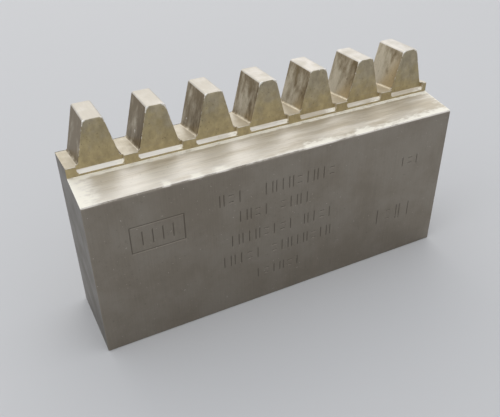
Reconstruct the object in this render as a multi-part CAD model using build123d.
from build123d import *
import math
import os

# Rack-type gear planing cutter: one hardened and ground steel block with a comb of straight rack
# teeth standing on a narrow strip behind a sloping ledge. The cutter is a single piece of steel. It is
# written out as the regions that a toolmaker would name, which touch face to face:
#   shank      the clamping block, with the sloping ledge along its front
#   comb_base  the strip under the teeth, with the wall between ledge and root lands
#   tooth_1..  one node for each tooth, counted from the left end
# Frame: +X along the rack, -Y the front (rake) side, +Z up, origin in the middle of the base face.

# ---- driving dimensions, millimetres and degrees -------------------------------------------------

# rack form
inch = 25.4
diametral_pitch = 6
tooth_count = 7
pressure_angle = 14.5
tip_above_reference = 1.157          # tip height over the reference line, in modules
whole_depth = 2.157                  # depth that the teeth cut, in modules
root_clearance = 0.22                # root lands lie this much below the whole depth
tip_radius = 0.5
root_radius = 0.6
relief_angle = 1.5                   # top lands and flanks fall away towards the back
root_relief_angle = 6.5              # root lands fall faster, so the teeth are tallest at the back

# lengths along the rack
left_land = 7.3                      # left end face to the middle of the first tooth
right_land = 6.0                     # middle of the last tooth to the right end face

# block
block_thickness = 20.4
shank_height = 41.1                  # base to the foot of the comb's wall
ledge_depth = 10.0                   # front face to the wall of the comb
ledge_slope = 8                      # the ledge falls towards the front
front_edge_radius = 0.7              # rounding where the ledge runs over into the front face
edge_break = 0.2                     # upright corners and the rim of the base

# comb
wall_height = 2.3                    # foot of the wall to root land, at the front
pocket_depth = 0.85                  # each tooth's rake face lies this far behind the wall
pocket_side = 0.62                   # the recess is this much wider than the tooth, on each side
pocket_sill = 0.45                   # wall left standing under each pocket
pocket_rise = 0.7                    # the pocket's sloping floor climbs this much to the rake face
pocket_corner = 0.8                  # rounding of the pocket's lower corners, seen from the front
parting_gap = 0.1                    # teeth and comb base meet this far above the root fillets

# ---- worked-out values ---------------------------------------------------------------------------

module = inch / diametral_pitch
pitch = math.pi * module
flank_slope = math.tan(math.radians(pressure_angle))
fall = math.tan(math.radians(relief_angle))
root_fall = math.tan(math.radians(root_relief_angle))
tooth_height = whole_depth * module + root_clearance
tip_width = pitch / 2 - 2 * tip_above_reference * module * flank_slope
foot_width = tip_width + 2 * tooth_height * flank_slope
pocket_width = foot_width + 2 * pocket_side
fillet_rise = root_radius * (1 - math.sin(math.radians(pressure_angle)))
parting_rise = fillet_rise + parting_gap
length = left_land + (tooth_count - 1) * pitch + right_land
front_height = shank_height - ledge_depth * math.tan(math.radians(ledge_slope))

left_end = -length / 2
right_end = length / 2
front = -block_thickness / 2
back = block_thickness / 2
wall = front + ledge_depth
comb_depth = block_thickness - ledge_depth
root_level = shank_height + wall_height
tip_level = root_level + tooth_height
tooth_middles = [left_end + left_land + i * pitch for i in range(tooth_count)]
sunk = comb_depth * (root_fall - fall) + root_radius  # the flanks run on this far below the roots
reach = tip_level + block_thickness  # longer than the cutter is tall, for cutting tools
near = 1e-4                          # places closer than this are the same


def carried_back(outline, slope):
    """Carry an outline drawn in X and Z from the wall to the back, falling with the given slope."""
    face = Plane(origin=(0, wall, 0), x_dir=(1, 0, 0), z_dir=(0, -1, 0)) * outline
    direction = Vector(0, 1, -slope)
    return extrude(face, amount=comb_depth * direction.length, dir=direction)


def box_between(low, high):
    """A box from its lowest to its highest corner."""
    size = [b - a for a, b in zip(low, high)]
    middle = [(a + b) / 2 for a, b in zip(low, high)]
    return Pos(*middle) * Box(*size)


def block():
    """The clamping block: a section with a sloping ledge and a rounded front edge, carried along."""
    section = make_face(Polyline(
        (front, 0),
        (back, 0),
        (back, shank_height),
        (wall, shank_height),
        (front, front_height),
        close=True,
    ))
    section = fillet(corners_at(section, [(front, front_height)]), front_edge_radius)
    return Pos(left_end, 0, 0) * extrude(Plane.YZ * section, amount=length, dir=(1, 0, 0))


def tooth_outline(middle):
    """One tooth seen from the front, with rounded tips and its foot sunk below the root lands."""
    low_half = foot_width / 2 + sunk * flank_slope
    outline = make_face(Polyline(
        (middle - low_half, root_level - sunk),
        (middle - tip_width / 2, tip_level),
        (middle + tip_width / 2, tip_level),
        (middle + low_half, root_level - sunk),
        close=True,
    ))
    tips = [(middle - tip_width / 2, tip_level), (middle + tip_width / 2, tip_level)]
    return fillet(corners_at(outline, tips), tip_radius)


def corners_at(outline, places):
    """The corners of a flat outline that lie at the given places."""
    found = []
    for corner in outline.vertices():
        if any(math.hypot(corner.X - x, corner.Y - z) < near for x, z in places):
            found.append(corner)
    return found


def comb():
    """The strip and its teeth, with its lower half sunk in the block so that the two are one."""
    strip = carried_back(Pos(0, root_level / 2) * Rectangle(length, root_level), root_fall)
    for middle in tooth_middles:
        strip += carried_back(tooth_outline(middle), fall)
    foot_places = [middle + side * foot_width / 2 for middle in tooth_middles for side in (-1, 1)]
    feet = []
    for edge in strip.edges().filter_by(GeomType.LINE):
        start = edge.vertices().sort_by(Axis.Y)[0]
        at_wall = abs(start.Y - wall) < near and abs(start.Z - root_level) < near
        runs_back = abs(edge.bounding_box().size.Y - comb_depth) < near
        if at_wall and runs_back and any(abs(start.X - x) < near for x in foot_places):
            feet.append(edge)
    strip = fillet(feet, root_radius)
    return strip & box_between((left_end, wall, shank_height / 2), (right_end, back, reach))


def pocket(middle):
    """The ground recess before one tooth: a flat rake face over a floor that slopes to the wall."""
    floor = shank_height + pocket_sill
    side = Plane.YZ * make_face(Polyline(
        (wall - pocket_depth, floor),
        (wall, floor),
        (wall + pocket_depth, floor + pocket_rise),
        (wall + pocket_depth, reach),
        (wall - pocket_depth, reach),
        close=True,
    ))
    trough = Pos(middle - pocket_width / 2, 0, 0) * extrude(side, amount=pocket_width, dir=(1, 0, 0))
    window = Pos(middle, (floor + reach) / 2) * Rectangle(pocket_width, reach - floor)
    low_corners = window.vertices().sort_by(Axis.Y)[:2]
    window = fillet(low_corners, pocket_corner)
    frame = Plane(origin=(0, wall - pocket_depth, 0), x_dir=(1, 0, 0), z_dir=(0, -1, 0)) * window
    return trough & extrude(frame, amount=2 * pocket_depth, dir=(0, 1, 0))


def envelope():
    """The outer box with its upright corners and base rim broken."""
    outer = box_between((left_end, front, 0), (right_end, back, reach))
    uprights = outer.edges().filter_by(Axis.Z)
    rim = outer.faces().sort_by(Axis.Z)[0].edges()
    return chamfer(uprights + rim, edge_break)


def cutter():
    """The whole cutter as one piece of steel."""
    whole = block() + comb()
    for middle in tooth_middles:
        whole -= pocket(middle)
    return whole & envelope()


def regions(whole):
    """The cutter's named regions, cut apart on planes so that neighbours share a face."""
    side = length
    over_shank = box_between((-side, -side, shank_height), (side, side, reach))
    parting = root_level + parting_rise
    under_parting = carried_back(Pos(0, parting / 2) * Rectangle(2 * side, parting), root_fall)
    upper = whole & over_shank
    named = {"shank": whole - over_shank, "comb_base": upper & under_parting}
    teeth = (upper - under_parting).solids().sort_by(Axis.X)
    for number, tooth in enumerate(teeth, start=1):
        named[f"tooth_{number}"] = tooth
    return named


os.makedirs("parts", exist_ok=True)
for name, region in regions(cutter()).items():
    export_step(region, f"parts/{name}.step")
    box = region.bounding_box()
    print(f"{name:10s} x {box.min.X:8.3f} {box.max.X:8.3f}  y {box.min.Y:8.3f} {box.max.Y:8.3f}"
          f"  z {box.min.Z:8.3f} {box.max.Z:8.3f}  volume {region.volume:10.3f}")
